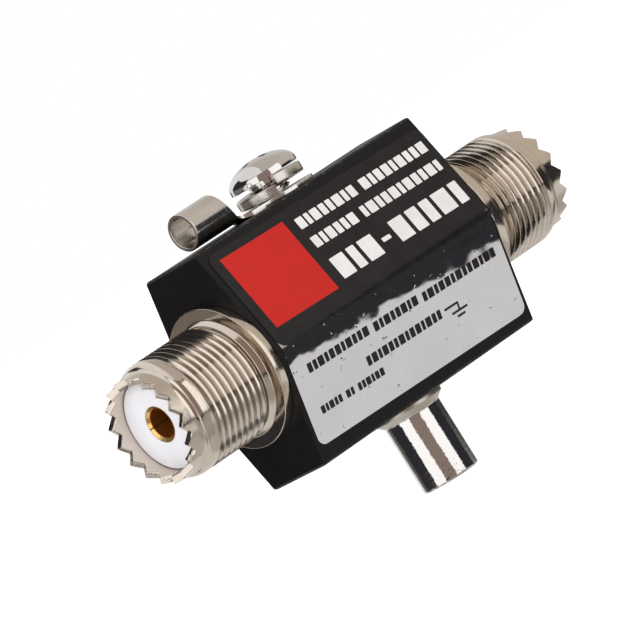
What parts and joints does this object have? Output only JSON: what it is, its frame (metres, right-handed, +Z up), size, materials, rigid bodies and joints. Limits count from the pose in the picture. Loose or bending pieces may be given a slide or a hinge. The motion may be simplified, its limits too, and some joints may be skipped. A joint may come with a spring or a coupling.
{
  "type": "coax lightning arrestor",
  "caption": "In-line coax surge arrestor: black six-sided housing with a threaded coax socket at each end, a ground screw with ring terminal on top and a screw-in gas tube cap below.",
  "frame": {"origin": "on the coax axis, at the outer end of port A's coupling thread", "axes": "+X along the coax line from port A to port B, +Z up along the ground screw, the label on the -Y side"},
  "size_m": [0.0725, 0.0205, 0.0474],
  "materials": {
    "black_enamel": "semi-gloss black enamel on a metal block",
    "label_foil": "metallised foil sticker, printed black on its upper half",
    "nickel_plate": "bright nickel plate on turned brass",
    "white_insulator": "smooth white fluoropolymer",
    "gold_plate": "gold plate on turned brass",
    "bare_brass": "turned brass",
    "bright_steel": "bright plated steel",
    "tinned_copper": "tinned copper sheet, rolled and brazed",
    "bright_cap": "bright chromium plate on a turned cap",
    "spring_steel": "drawn spring wire",
    "white_ceramic": "glazed ceramic",
    "electrode_metal": "plated electrode metal"
  },
  "bodies": {
    "housing": {"housing": "black_enamel", "label": "label_foil", "port_a_shell": "nickel_plate", "port_b_shell": "nickel_plate", "port_a_insulator": "white_insulator", "port_b_insulator": "white_insulator", "port_a_contact": "gold_plate", "port_b_contact": "gold_plate", "centre_conductor": "bare_brass"},
    "lock_washer": {"lock_washer": "bright_steel"},
    "ground_screw": {"ground_screw": "bright_steel"},
    "ring_terminal": {"ring_terminal": "tinned_copper"},
    "gas_tube": {"gas_tube_ceramic": "white_ceramic", "gas_tube_inner_electrode": "electrode_metal", "gas_tube_outer_electrode": "electrode_metal", "contact_spring": "spring_steel"},
    "gas_tube_cap": {"gas_tube_cap": "bright_cap"}
  },
  "joints": [
    {"name": "ring_terminal_swivel", "type": "hinge", "parent": "housing", "child": "ring_terminal", "pos_m": [0.03215, 0, 0.01525], "axis": [0, 0, 1], "continuous": true},
    {"name": "ground_screw_lift", "type": "slide", "parent": "housing", "child": "lock_washer", "axis": [0, 0, 1], "range_m": [0, 0.0056]},
    {"name": "ground_screw_turn", "type": "hinge", "parent": "lock_washer", "child": "ground_screw", "pos_m": [0.03215, 0, 0.01835], "axis": [0, 0, 1], "range_deg": [0, 2520]},
    {"name": "gas_tube_drop", "type": "slide", "parent": "housing", "child": "gas_tube", "axis": [0, 0, -1], "range_m": [0, 0.008]},
    {"name": "cap_turn", "type": "hinge", "parent": "gas_tube", "child": "gas_tube_cap", "pos_m": [0.03215, 0, -0.01525], "axis": [0, 0, -1], "range_deg": [0, 2880]}
  ],
  "couplings": [
    {"joint": "ground_screw_turn", "follows": "ground_screw_lift", "rad_per_m": 7854},
    {"joint": "cap_turn", "follows": "gas_tube_drop", "rad_per_m": 6283.2}
  ]
}
